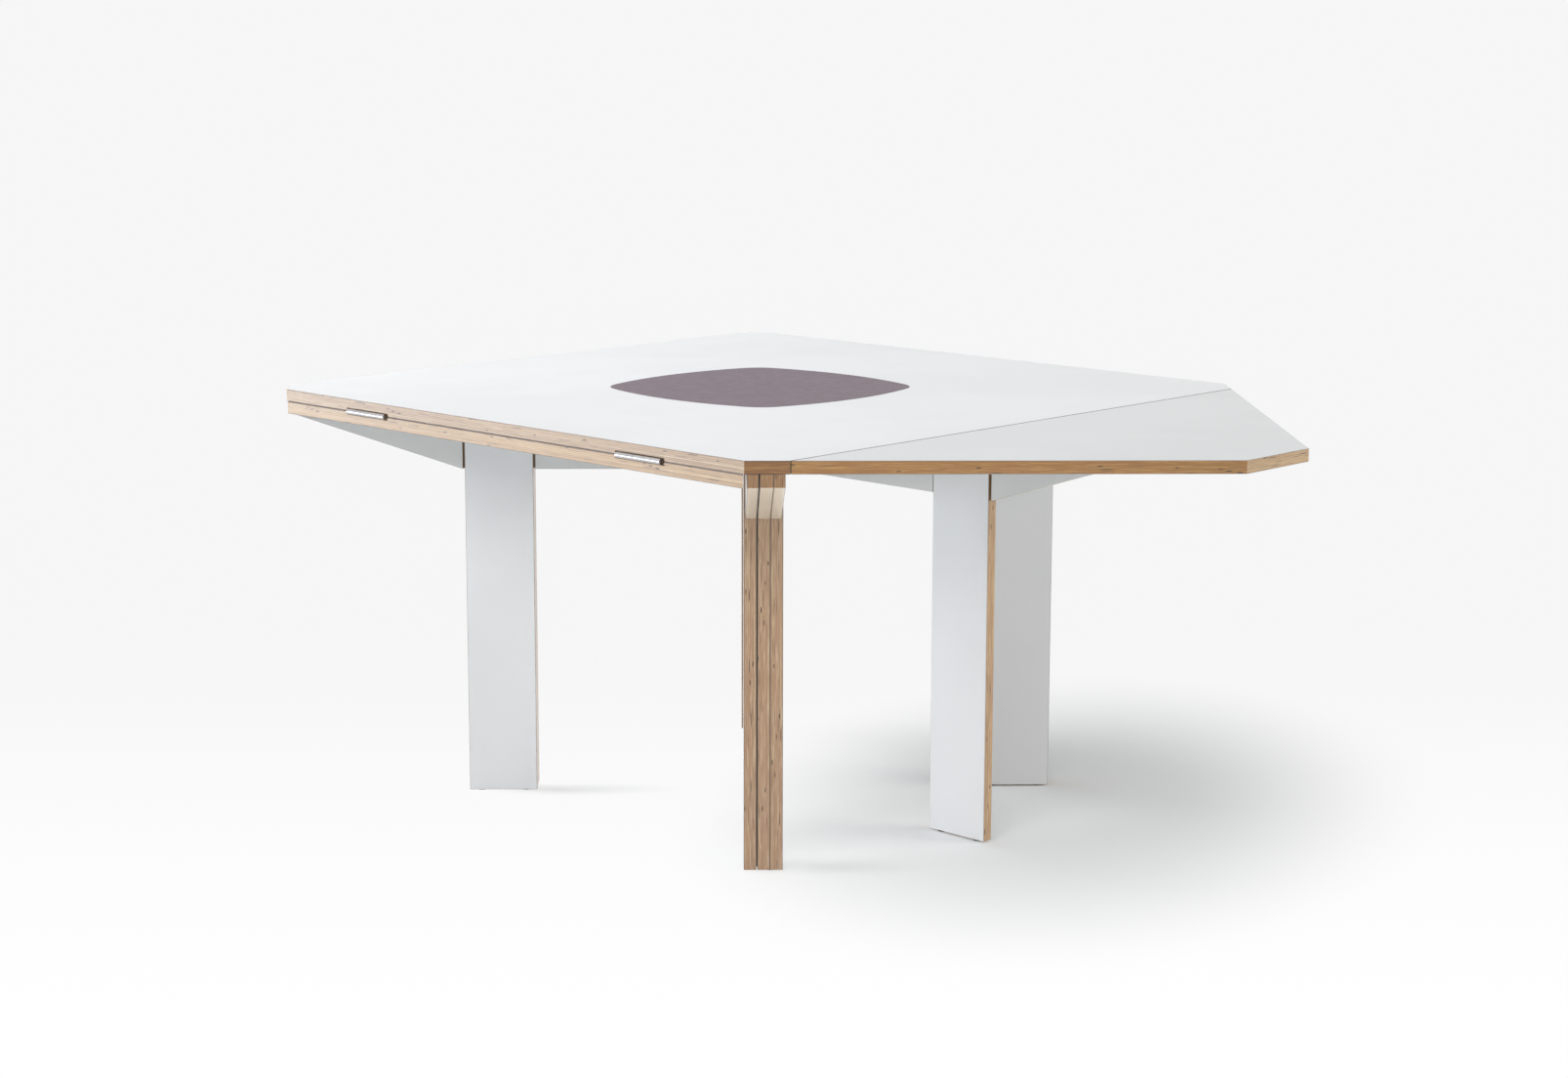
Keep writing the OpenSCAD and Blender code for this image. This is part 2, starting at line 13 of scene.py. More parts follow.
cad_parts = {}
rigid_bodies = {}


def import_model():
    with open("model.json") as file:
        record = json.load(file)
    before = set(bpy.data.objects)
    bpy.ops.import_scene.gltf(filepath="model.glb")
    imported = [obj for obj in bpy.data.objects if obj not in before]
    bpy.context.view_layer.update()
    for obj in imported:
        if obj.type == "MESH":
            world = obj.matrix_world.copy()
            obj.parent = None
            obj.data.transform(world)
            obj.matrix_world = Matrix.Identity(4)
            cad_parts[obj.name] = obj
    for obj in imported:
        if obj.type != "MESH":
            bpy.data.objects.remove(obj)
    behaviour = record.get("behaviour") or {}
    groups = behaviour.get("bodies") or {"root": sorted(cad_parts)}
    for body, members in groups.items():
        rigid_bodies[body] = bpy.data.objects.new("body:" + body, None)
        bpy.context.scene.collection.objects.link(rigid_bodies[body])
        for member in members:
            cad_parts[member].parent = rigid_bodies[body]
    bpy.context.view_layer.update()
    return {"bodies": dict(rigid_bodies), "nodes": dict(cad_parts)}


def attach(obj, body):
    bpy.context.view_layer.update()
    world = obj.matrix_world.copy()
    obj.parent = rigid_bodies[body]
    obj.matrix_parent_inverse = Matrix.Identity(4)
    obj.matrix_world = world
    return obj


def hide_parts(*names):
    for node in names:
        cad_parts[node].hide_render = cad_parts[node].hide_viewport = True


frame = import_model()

LOG = logging.getLogger("table")
MM = 0.001
ORIGIN = (0.0, 0.0, 0.0)
X_AXIS = (1.0, 0.0, 0.0)
Z_AXIS = (0.0, 0.0, 1.0)
WHITE = (1.0, 1.0, 1.0)
WARM = (1.0, 0.975, 0.9)
COOL = (0.95, 1.0, 1.06)
PANEL_GRAIN = (math.sqrt(0.5), math.sqrt(0.5), 0.0)  # The grain of the top and of the leaves.
ACROSS = 90.0  # The degrees from a board's length to its thickness.
OPEN_SWING = -45.0  # The degrees that the opened gate stands away from its closed place.
MIX_SHARE, MIX_FIRST, MIX_SECOND, MIX_RESULT = 0, 6, 7, 2  # The Mix node's sockets for colours.

Rgb = tuple[float, float, float]
Point = tuple[float, float, float]
Grain = tuple[float, float]  # A noise's repeats in a metre, and its octaves.
Span = tuple[float, float]  # Two ends, mostly those of a ramp.
Shape = bmesh.types.BMesh
Material = bpy.types.Material
Piece = bpy.types.Object
Socket = bpy.types.NodeSocket
Loop = list[bmesh.types.BMVert]


class Bearing(Enum):
    """Places on the top, by the direction in degrees in which each one lies."""

    @property
    def label(self) -> str:
        """The place's name as the nodes spell it."""
        return self.name.lower()


class Corner(Bearing):
    """The corners of the top."""

    RIGHT = 0
    BACK = 90
    LEFT = 180
    FRONT = 270


class Side(Bearing):
    """The sides of the top."""

    BACK_RIGHT = 45
    BACK_LEFT = 135
    FRONT_LEFT = 225
    FRONT_RIGHT = 315


def heading(degrees: float) -> Point:
    """The level direction at an angle from +X."""
    turn = math.radians(degrees)
    return math.cos(turn), math.sin(turn), 0.0


def make_piece(name: str, shape: Shape, material: Material) -> Piece:
    """Turns a mesh in the making into a piece.

    Args:
        name: The piece's name.
        shape: The mesh, which is used up.
        material: Its material.

    Returns:
        The piece.
    """
    mesh = bpy.data.meshes.new(name)
    shape.to_mesh(mesh)
    shape.free()
    piece = bpy.data.objects.new(name, mesh)
    mesh.materials.append(material)
    bpy.context.scene.collection.objects.link(piece)
    LOG.info("made %s", name)
    return piece


class Value:
    """What a node puts out, with the arithmetic of numbers or of vectors."""

    def __init__(self, sheet: "NodeSheet", socket: Socket) -> None:
        """Keeps the output's socket and the sheet that it's on."""
        self.sheet, self.socket = sheet, socket
        self.is_vector = socket.type == "VECTOR"

    def step(self, operation: str, other: object) -> "Value":
        """Works out one step with another value."""
        work = self.sheet.vector if self.is_vector else self.sheet.maths
        return work(operation, self, other)

    def __add__(self, other: object) -> "Value":
        """Adds a value."""
        return self.step("ADD", other)

    def __sub__(self, other: object) -> "Value":
        """Takes a value away."""
        return self.step("SUBTRACT", other)

    def __rsub__(self, other: float) -> "Value":
        """Takes this number away from another."""
        return self.sheet.maths("SUBTRACT", other, self)

    def __mul__(self, other: object) -> "Value":
        """Multiplies a number, or scales a vector."""
        return self.step("SCALE" if self.is_vector else "MULTIPLY", other)

    def __abs__(self) -> "Value":
        """A number without its sign."""
        return self.sheet.maths("ABSOLUTE", self)

    def dot(self, other: object) -> "Value":
        """The dot product of two vectors."""
        return self.sheet.vector("DOT_PRODUCT", self, other)


class NodeSheet:
    """Lays out the nodes of one tree, and links them."""

    def __init__(self, tree: bpy.types.NodeTree) -> None:
        """Starts on an empty tree."""
        self.tree = tree
        self.tree.nodes.clear()

    def node(self, kind: str, inputs: dict | None = None, **settings: object) -> bpy.types.Node:
        """Adds a node.

        Args:
            kind: Blender's name for the node's type.
            inputs: What each named or numbered input takes, an output or a constant.
            **settings: The node's own properties.

        Returns:
            The new node.
        """
        made = self.tree.nodes.new(kind)
        for name, value in settings.items():
            setattr(made, name, value)
        for key, value in (inputs or {}).items():
            self.feed(made.inputs[key], value)
        return made

    def put(
        self, kind: str, output: str | int, inputs: dict | None = None, **settings: object
    ) -> Value:
        """Adds a node as node() does, and takes one of its outputs."""
        return Value(self, self.node(kind, inputs, **settings).outputs[output])

    def feed(self, socket: Socket, value: object) -> None:
        """Links an output to an input, or sets the input's own value.

        Args:
            socket: The input.
            value: The output to link, or the constant to set.
        """
        if isinstance(value, Value):
            value = value.socket
        if isinstance(value, Socket):
            self.tree.links.new(value, socket)
        elif socket.type == "RGBA":
            socket.default_value = (*value, 1.0)
        else:
            socket.default_value = value

    def maths(self, operation: str, *values: object) -> Value:
        """Works out one operation of the Math node."""
        return self.put("ShaderNodeMath", 0, dict(enumerate(values)), operation=operation)

    def vector(self, operation: str, *values: object) -> Value:
        """Works out one operation of the Vector Math node.

        Args:
            operation: The operation.
            *values: Its inputs, in order.

        Returns:
            The result, which is a number for a dot product or a length.
        """
        slots = (0, "Scale") if operation == "SCALE" else (0, 1)
        output = "Value" if operation in ("DOT_PRODUCT", "LENGTH") else "Vector"
        inputs = dict(zip(slots, values))
        return self.put("ShaderNodeVectorMath", output, inputs, operation=operation)

    def ramp(self, value: object, low: float, high: float) -> Value:
        """Rises smoothly from 0 at one value to 1 at another."""
        inputs = {"Value": value, "From Min": low, "From Max": high}
        return self.put("ShaderNodeMapRange", "Result", inputs, interpolation_type="SMOOTHSTEP")

    def mix(self, share: object, first: object, second: object, mode: str = "MIX") -> Value:
        """Mixes two colours, by the share of the second one."""
        inputs = {MIX_SHARE: share, MIX_FIRST: first, MIX_SECOND: second}
        return self.put("ShaderNodeMix", MIX_RESULT, inputs, data_type="RGBA", blend_type=mode)

    def noise(self, place: object, scale: float, detail: float) -> Value:
        """Adds noise, by its repeats in a metre and its octaves."""
        inputs = {"Vector": place, "Scale": scale, "Detail": detail}
        return self.put("ShaderNodeTexNoise", 0, inputs)

    def glow(self, colour: object, strength: object = 1.0) -> Value:
        """Adds a shader that gives off light."""
        return self.put("ShaderNodeEmission", 0, {"Color": colour, "Strength": strength})

    def sum(self, first: object, second: object) -> Value:
        """Adds two shaders together."""
        return self.put("ShaderNodeAddShader", 0, {0: first, 1: second})

    def blend(self, share: object, first: object, second: object) -> Value:
        """Blends two shaders, by the share of the second one."""
        return self.put("ShaderNodeMixShader", 0, {0: share, 1: first, 2: second})


def new_group(name: str, kind: str, inputs: dict[str, str], outputs: dict[str, str]) -> NodeSheet:
    """Starts a node group.

    Args:
        name: The group's name.
        kind: Blender's name for the type of its tree.
        inputs: The type of each input.
        outputs: The type of each output.

    Returns:
        The sheet for its nodes.
    """
    tree = bpy.data.node_groups.new(name, kind)
    for way, sockets in (("INPUT", inputs), ("OUTPUT", outputs)):
        for label, socket in sockets.items():
            tree.interface.new_socket(label, in_out=way, socket_type="NodeSocket" + socket)
    return NodeSheet(tree)


class Coat(NodeSheet):
    """One procedural material, read in the object's own coordinates."""

    def __init__(self, name: str) -> None:
        """Starts an empty material.

        Args:
            name: The material's name.
        """
        self.material = bpy.data.materials.new(name)
        self.material.use_nodes = True
        super().__init__(self.material.node_tree)
        given = self.node("ShaderNodeTexCoord").outputs
        self.place, self.normal = Value(self, given["Object"]), Value(self, given["Normal"])

    def surface(
        self, colour: object, roughness: object, height: object, depth: float, **others: object
    ) -> Material:
        """Closes the material with its shader.

        Args:
            colour: The base colour.
            roughness: The roughness.
            height: The relief, from 0 to 1.
            depth: The relief's depth in metres.
            **others: What other sockets of the shader take, underscores standing for spaces.

        Returns:
            The material.
        """
        bump = self.put("ShaderNodeBump", 0, {"Height": height, "Distance": depth, "Strength": 1.0})
        inputs = {"Base Color": colour, "Roughness": roughness, "Normal": bump}
        inputs.update((name.replace("_", " "), value) for name, value in others.items())
        shader = self.put("ShaderNodeBsdfPrincipled", 0, inputs)
        self.node("ShaderNodeOutputMaterial", {"Surface": shader})
        return self.material


@dataclass(frozen=True)
class Marks:
    """Long dark marks scattered over a cut edge, each one as high as its layer.

    The length holds one mark at most, the radius is a share of it, and the share says how many
    of these lengths hold one.
    """

    length: float
    radius: float
    share: float
    row_step: float = 17.31
    rounding: float = 3.0
    rim: Span = (0.7, 1.0)
    faintest: float = 0.6

    def lay(self, sheet: NodeSheet, along: Value, count: Value) -> Value:
        """Lays the marks.

        Args:
            sheet: The tree that takes them.
            along: The distance along the edge.
            count: The distance through the board, in layers.

        Returns:
            How strong they are.
        """
        row = sheet.maths("FLOOR", count) * self.row_step
        spot = sheet.maths("MULTIPLY_ADD", along, 1.0 / self.length, row)
        inputs = {"W": spot, "Scale": 1.0}
        cells = sheet.node("ShaderNodeTexVoronoi", inputs, voronoi_dimensions="1D").outputs
        chance = sheet.node("ShaderNodeSeparateColor", {"Color": cells["Color"]}).outputs
        middle = sheet.maths("FRACT", count) - 0.5
        rounded = middle * middle * self.rounding
        reach = sheet.maths("MULTIPLY_ADD", cells["Distance"], 1.0 / self.radius, rounded)
        chosen = sheet.maths("LESS_THAN", chance[0], self.share)
        strength = sheet.maths("MULTIPLY_ADD", chance[1], 1.0 - self.faintest, self.faintest)
        return (1.0 - sheet.ramp(reach, *self.rim)) * chosen * strength


@dataclass(frozen=True)
class VeneerPattern:
    """The measures of the veneers' pattern: steps, noises, the spans of ramps, and shares."""

    face_step: float = 7.3
    board_step: float = 29.0
    layer_step: Point = (1.71, 2.33, 0.97)
    patches: Grain = (26.0, 4.0)
    fibres: Grain = (1900.0, 3.0)
    fibre_stretch: float = 0.035
    pores: Grain = (1500.0, 2.0)
    bands: Grain = (1.0, 2.0)
    band_scales: Span = (1.6, 170.0)
    figure_scales: Span = (22.0, 380.0)
    hues: Grain = (0.8, 2.0)
    hue_shift: Point = (7.3, 2.9, 5.1)
    waves: Grain = (160.0, 3.0)
    wave_height: float = 0.012
    hole_scale: float = 17.0
    hole_reach: Span = (0.12, 0.28)
    hole_height: Span = (0.3, 0.44)
    hole_rarity: float = 0.8
    seam: Span = (0.36, 0.5)
    rose_hues: Span = (0.36, 0.5)
    sand_hues: Span = (0.52, 0.66)
    weights: Point = (0.3, 0.5, 1.3)
    dark_tones: Span = (0.66, 1.42)
    dark_figure: Span = (0.47, 0.66)
    dark_share: float = 0.75
    pale_figure: Span = (0.48, 0.34)
    pale_share: float = 0.6
    dark_fibres: Span = (0.4, 0.75)
    fibre_share: float = 0.3
    dark_pores: Span = (0.52, 0.8)
    pore_share: float = 0.45
    seam_share: float = 0.45
    knots: Marks = Marks(0.05, 0.11, 0.07)
    knot_rows: float = 0.6
    streaks: Marks = Marks(0.11, 0.17, 0.14)
    streak_share: float = 0.8
    fibre_relief: float = 0.4
    seam_relief: float = 0.3
    knot_relief: float = 0.4


@dataclass(frozen=True)
class Birch:
    """Birch plywood, seen on its cut edges: thin crossed veneers with glue lines and voids."""

    label: str = "frame"
    tan: Rgb = (0.66, 0.425, 0.235)
    rose: Rgb = (0.60, 0.375, 0.25)
    sand: Rgb = (0.70, 0.54, 0.35)
    end_grain: Rgb = (0.40, 0.235, 0.125)
    glue: Rgb = (0.17, 0.10, 0.06)
    void: Rgb = (0.05, 0.025, 0.015)
    # Paler tone for downward-facing edges of faced boards: painted light for the light thrown up by
    # the bright floor.
    painted_underside_light: Rgb = (0.80, 0.66, 0.50)
    painted_underside_share: float = 0.7
    oblique: Rgb = (0.94, 0.82, 0.68)
    knot: Rgb = (0.075, 0.038, 0.02)
    streak: Rgb = (0.21, 0.11, 0.055)
    grain: Point = Z_AXIS
    figure: float = 1.0
    roughness: float = 0.5
    varnish: float = 1.0
    varnish_roughness: float = 0.25
    varnish_index: float = 1.5
    relief: float = 0.0001
    pattern: VeneerPattern = VeneerPattern()

    def group(self) -> bpy.types.NodeTree:
        """The look of the veneers, made once and shared.

        Returns:
            The node group.
        """
        name = "birch_veneers_" + self.label
        if name in bpy.data.node_groups:
            return bpy.data.node_groups[name]
        vectors, numbers = ("Place", "Across", "Facing"), ("Start", "Veneer")
        inputs = {**dict.fromkeys(vectors, "Vector"), **dict.fromkeys(numbers, "Float")}
        sheet = new_group(name, "ShaderNodeTree", inputs, {"Colour": "Color", "Height": "Float"})
        given = sheet.node("NodeGroupInput").outputs
        place, across, facing, start, veneer = (Value(sheet, given[label]) for label in inputs)
        its = self.pattern

        # Where a point lies in the board, and how its edge cuts the grain.
        depth = place.dot(across) - start
        count = sheet.maths("DIVIDE", depth, veneer)
        layer = sheet.maths("FLOOR", count)
        square_on = sheet.maths("POWER", abs(facing.dot(self.grain)), 2.0)
        ended = sheet.maths("SQRT", abs(sheet.maths("PINGPONG", layer, 1.0) - square_on))
        slanting = 1.0 - abs(sheet.maths("MULTIPLY_ADD", square_on, 2.0, -1.0))
        along = place.dot(sheet.vector("CROSS_PRODUCT", across, facing))
        along = sheet.maths("MULTIPLY_ADD", place.dot(facing), its.face_step, along)
        along = sheet.maths("MULTIPLY_ADD", start, its.board_step, along)
        deep = across * depth
        flat = place - deep
        own = flat + sheet.vector("SCALE", its.layer_step, layer)

        # The noises, each veneer with its own.
        patches = sheet.noise(own, *its.patches)
        fibres = sheet.noise(own * its.fibre_stretch + deep, *its.fibres)
        pores = sheet.noise(place, *its.pores)
        long, high = its.band_scales
        broad = flat * long + across * (depth * high)
        bands = sheet.noise(broad, *its.bands)
        hue = sheet.noise(broad + its.hue_shift, *its.hues)
        long, high = its.figure_scales
        figure = sheet.noise(own * long + across * (depth * high), *its.bands)

        # Holes inside the veneers, and the glue lines between them.
        cells = sheet.node("ShaderNodeTexVoronoi", {"Vector": own, "Scale": its.hole_scale}).outputs
        rare = sheet.put("ShaderNodeSeparateColor", 0, {"Color": cells["Color"]})
        off_middle = abs(sheet.maths("FRACT", count) - 0.5)
        near = 1.0 - sheet.ramp(cells["Distance"], *its.hole_reach)
        inside = 1.0 - sheet.ramp(off_middle, *its.hole_height)
        hole = near * inside * sheet.maths("GREATER_THAN", rare, its.hole_rarity)
        seam = sheet.ramp(off_middle, *its.seam)

        # The colour, from the ground up.
        by_end, by_patch, by_band = its.weights
        tone = ended * by_end + patches * by_patch + bands * by_band
        strong = sheet.maths("MULTIPLY_ADD", slanting, 1.0 - self.figure, self.figure)
        colour = sheet.mix(sheet.ramp(hue, *its.rose_hues), self.tan, self.rose)
        for share, tint in (
            (sheet.ramp(hue, *its.sand_hues), self.sand),
            (sheet.ramp(tone, *its.dark_tones), self.end_grain),
            (sheet.ramp(figure, *its.dark_figure) * (strong * its.dark_share), self.end_grain),
            (sheet.ramp(figure, *its.pale_figure) * (strong * its.pale_share), self.sand),
            (sheet.ramp(fibres, *its.dark_fibres) * its.fibre_share, self.end_grain),
            (sheet.ramp(pores, *its.dark_pores) * (ended * its.pore_share), self.glue),
            (seam * its.seam_share, self.glue),
        ):
            colour = sheet.mix(share, colour, tint)
        colour = sheet.mix(slanting, colour, sheet.mix(1.0, colour, self.oblique, "MULTIPLY"))

        # The marks, and the relief.
        wavy = sheet.maths("MULTIPLY_ADD", sheet.noise(own, *its.waves), its.wave_height, along)
        knots = its.knots.lay(sheet, wavy, count * its.knot_rows)
        streaks = its.streaks.lay(sheet, wavy, count) * its.streak_share
        for share, tint in ((streaks, self.streak), (knots, self.knot), (hole, self.void)):
            colour = sheet.mix(share, colour, tint)
        height = fibres * its.fibre_relief - seam * its.seam_relief
        height = height - sheet.maths("MAXIMUM", hole, knots * its.knot_relief)
        sheet.node("NodeGroupOutput", {"Colour": colour, "Height": height})
        return sheet.tree

    def veneers(
        self, coat: Coat, across: Point, start: float, veneer: float
    ) -> bpy.types.NodeOutputs:
        """Lays the veneers in a material.

        Args:
            coat: The material that takes them.
            across: The direction across the veneers.
            start: The distance along that direction of the first veneer's face.
            veneer: The thickness of a veneer.

        Returns:
            The Colour and the Height.
        """
        inputs = {"Place": coat.place, "Across": across, "Facing": coat.normal}
        inputs.update({"Start": start, "Veneer": veneer})
        return coat.node("ShaderNodeGroup", inputs, node_tree=self.group()).outputs

    def varnished(self, share: object) -> dict[str, object]:
        """The sockets for the varnish, by the share of the surface that has it."""
        index, rough = self.varnish_index, self.varnish_roughness
        return {"Coat_Weight": share, "Coat_Roughness": rough, "Coat_IOR": index}

    def coat(self, name: str, across: Point, start: float, veneer: float) -> Material:
        """The bare plywood of a panel's core.

        Args:
            name: The material's name.
            across: The direction across the veneers.
            start: The distance along that direction of the first veneer's face.
            veneer: The thickness of a veneer.

        Returns:
            The material.
        """
        coat = Coat(name)
        ply = self.veneers(coat, across, start, veneer)
        varnish = self.varnished(self.varnish)
        return coat.surface(ply["Colour"], self.roughness, ply["Height"], self.relief, **varnish)


@dataclass(frozen=True)
class Laminate:
    """High-pressure laminate: a fine matt face on a brown core that shows along its edges."""

    face: Rgb
    core: Rgb = (0.44, 0.36, 0.31)
    # Near-black for the edges beside an opened leaf: painted shade for the shadow in the seam.
    seam: Rgb = (0.05, 0.05, 0.055)
    roughness: float = 0.36
    relief: float = 0.00001
    facing: float = 0.995
    seam_shade_facing: float = 0.3
    cloud: float = 0.035
    clouds: Grain = (3.5, 3.0)
    cloud_span: Span = (0.35, 0.65)
    grain: Grain = (2600.0, 2.0)
    rub: Grain = (14.0, 4.0)
    rub_range: float = 0.1

    def skin(self, coat: Coat) -> tuple[Value, Value, Value]:
        """The face's colour, roughness and fine relief.

        Args:
            coat: The material that takes them.

        Returns:
            The three values.
        """
        darker = tuple(part * (1.0 - self.cloud) for part in self.face)
        clouds = coat.ramp(coat.noise(coat.place, *self.clouds), *self.cloud_span)
        rub = coat.noise(coat.place, *self.rub) * self.rub_range
        roughness = rub + (self.roughness - self.rub_range / 2)
        return coat.mix(clouds, self.face, darker), roughness, coat.noise(coat.place, *self.grain)

    def coat(self, name: str, across: Point, joint: Point) -> Material:
        """A sheet of laminate with its core showing on its edges.

        Args:
            name: The material's name.
            across: The direction that the sheet's faces look in.
            joint: The direction of the edge along an opened leaf, where the edges get a painted
                shade for the shadow in the seam.

        Returns:
            The material.
        """
        coat = Coat(name)
        colour, roughness, fine = self.skin(coat)
        face = coat.maths("GREATER_THAN", abs(coat.normal.dot(across)), self.facing)
        # Edges that look towards the opened leaf take the near-black: painted shade in the seam's
        # gap.
        painted_seam_shade = coat.maths("GREATER_THAN", coat.normal.dot(joint), self.seam_shade_facing)
        edge = coat.mix(painted_seam_shade, self.core, self.seam)
        return coat.surface(coat.mix(face, edge, colour), roughness, fine, self.relief)


@dataclass(frozen=True)
class FacedBoard:
    """Plywood with laminate on both faces: cut edges and routed recesses show its veneers."""

    laminate: Laminate
    birch: Birch
    veneer: float = 1.4 * MM
    skin: float = 0.9 * MM
    margin: float = 0.1 * MM
    slant: float = -0.5
    face_relief: float = 0.06

    def coat(self, name: str, across: Point, start: float, thickness: float) -> Material:
        """The board's material.

        Args:
            name: The material's name.
            across: The direction across the board's thickness.
            start: The distance along that direction of the board's first face.
            thickness: The board's thickness.

        Returns:
            The material.
        """
        coat = Coat(name)
        birch, laminate = self.birch, self.laminate
        colour, rubbed, fine = laminate.skin(coat)
        ply = birch.veneers(coat, across, start, self.veneer)
        depth = coat.place.dot(across) - start
        near = coat.maths("MINIMUM", depth, thickness - depth)
        outer = coat.maths("LESS_THAN", near, self.skin + self.margin)
        looks = abs(coat.normal.dot(across))
        face = outer * coat.maths("GREATER_THAN", looks, laminate.facing)
        wood = 1.0 - face
        # Wood that faces further down than the slant takes the paler underside tone: painted light
        # from the floor below.
        below = coat.maths("LESS_THAN", coat.normal.dot(Z_AXIS), self.slant)
        cut = coat.mix(below * birch.painted_underside_share, ply["Colour"], birch.painted_underside_light)
        edge = coat.mix(outer, cut, laminate.core)
        return coat.surface(
            coat.mix(face, edge, colour),
            face * rubbed + wood * birch.roughness,
            wood * ply["Height"] + fine * self.face_relief,
            birch.relief,
            **birch.varnished(wood * birch.varnish),
        )


@dataclass(frozen=True)
class Metal:
    """A metal with its brushing or its polish."""

    tint: Rgb
    roughness: float
    shade: float = 0.88
    dull: Grain = (90.0, 4.0)
    dull_span: Span = (0.35, 0.7)
    wear: float = 0.06
    brushing: Grain = (700.0, 2.0)
    relief: float = 0.00001

    def coat(self, name: str) -> Material:
        """The metal's material.

        Args:
            name: The material's name.

        Returns:
            The material.
        """
        coat = Coat(name)
        dull, lines = (coat.noise(coat.place, *grain) for grain in (self.dull, self.brushing))
        darker = tuple(part * self.shade for part in self.tint)
        colour = coat.mix(coat.ramp(dull, *self.dull_span), self.tint, darker)
        roughness = dull * self.wear + self.roughness
        return coat.surface(colour, roughness, lines, self.relief, Metallic=1.0)


@dataclass(frozen=True)
class TwoTone:
    """A stuff of two tones in a fine grain: the inlay's linoleum, the glides' nylon, and the
    near-black strip of painted shade in the gates' gaps.
    """

    tint: Rgb
    fleck: Rgb
    roughness: float
    relief: float
    grain: Grain
    span: Span
    sheen: float = 0.0
    broad: Grain = (60.0, 5.0)
    broad_share: float = 0.0

    def coat(self, name: str) -> Material:
        """The stuff's material.

        Args:
            name: The material's name.

        Returns:
            The material.
        """
        coat = Coat(name)
        tone = grain = coat.noise(coat.place, *self.grain)
        if self.broad_share:
            broad = coat.noise(coat.place, *self.broad)
            tone = broad * self.broad_share + grain * (1.0 - self.broad_share)
        colour = coat.mix(coat.ramp(tone, *self.span), self.tint, self.fleck)
        return coat.surface(colour, self.roughness, grain, self.relief, Sheen_Weight=self.sheen)


@dataclass(frozen=True)
class Finishes:
    """Every finish on the table."""

    birch: Birch = Birch()
    top_birch: Birch = Birch(
        "top",
        tan=(0.60, 0.425, 0.235),
        rose=(0.53, 0.37, 0.225),
        sand=(0.64, 0.50, 0.32),
        end_grain=(0.325, 0.195, 0.104),
        oblique=(0.70, 0.49, 0.245),
        grain=PANEL_GRAIN,
        figure=0.4,
    )
    leaf_birch: Birch = Birch(
        "leaf",
        tan=(0.65, 0.445, 0.22),
        rose=(0.575, 0.39, 0.215),
        sand=(0.68, 0.52, 0.305),
        end_grain=(0.375, 0.22, 0.10),
        oblique=(0.95, 0.764, 0.475),
        grain=PANEL_GRAIN,
        figure=0.4,
    )
    # A warmer, yellower copy of the birch for the opened gate's leg: painted warm light on its
    # edges, which face the right-hand lamp.
    warm_lit_birch: Birch = Birch(
        "amber",
        tan=(0.62, 0.39, 0.185),
        rose=(0.56, 0.34, 0.18),
        sand=(0.66, 0.50, 0.27),
        end_grain=(0.37, 0.21, 0.095),
    )
    # A darker copy of the birch for the arms and beams: painted shade for their place under the
    # top, with a strong painted underside light from the floor.
    shaded_arm_birch: Birch = Birch(
        "arm",
        tan=(0.47, 0.27, 0.108),
        rose=(0.43, 0.235, 0.115),
        sand=(0.51, 0.345, 0.165),
        end_grain=(0.285, 0.147, 0.06),
        painted_underside_light=(0.98, 0.88, 0.72),
        painted_underside_share=0.9,
    )
    top_white: Laminate = Laminate((0.86, 0.88, 0.90))
    leaf_white: Laminate = Laminate((0.745, 0.765, 0.78))
    leg_white: Laminate = Laminate((0.835, 0.85, 0.865), core=(0.17, 0.115, 0.08))
    arm_white: Laminate = replace(leg_white, face=(0.745, 0.755, 0.75))
    # A paler grey copy of the laminate's core for the opened gate's boards: painted light on their
    # edges.
    lit_gate_core: Rgb = (0.5, 0.47, 0.46)
    leg_board: FacedBoard = FacedBoard(leg_white, birch)
    arm_board: FacedBoard = FacedBoard(arm_white, shaded_arm_birch)
    open_leg_board: FacedBoard = FacedBoard(replace(leg_white, core=lit_gate_core), warm_lit_birch)
    open_arm_board: FacedBoard = FacedBoard(replace(arm_white, core=lit_gate_core), shaded_arm_birch)
    chrome: Metal = Metal((0.6, 0.6, 0.62), 0.16)
    steel: Metal = Metal((0.52, 0.53, 0.55), 0.32)
    plated: Metal = Metal((0.60, 0.60, 0.62), 0.25)
    nylon: TwoTone = TwoTone(
        tint=(0.05, 0.05, 0.052),
        fleck=(0.0625, 0.0625, 0.065),
        roughness=0.55,
        relief=0.00002,
        grain=(1800.0, 3.0),
        span=(0.4, 0.7),
    )
    # The near-black strip in the gap between each gate's leg and the fixed leg: painted shade for
    # the shadow in that gap.
    felt: TwoTone = TwoTone(
        tint=(0.045, 0.036, 0.036),
        fleck=(0.10, 0.085, 0.085),
        roughness=0.95,
        relief=0.0002,
        grain=(1400.0, 4.0),
        span=(0.45, 0.75),
        sheen=0.3,
    )
    linoleum: TwoTone = TwoTone(
        tint=(0.148, 0.106, 0.132),
        fleck=(0.108, 0.074, 0.095),
        roughness=0.5,
        relief=0.00003,
        grain=(900.0, 3.0),
        span=(0.38, 0.62),
        broad_share=0.6,
    )


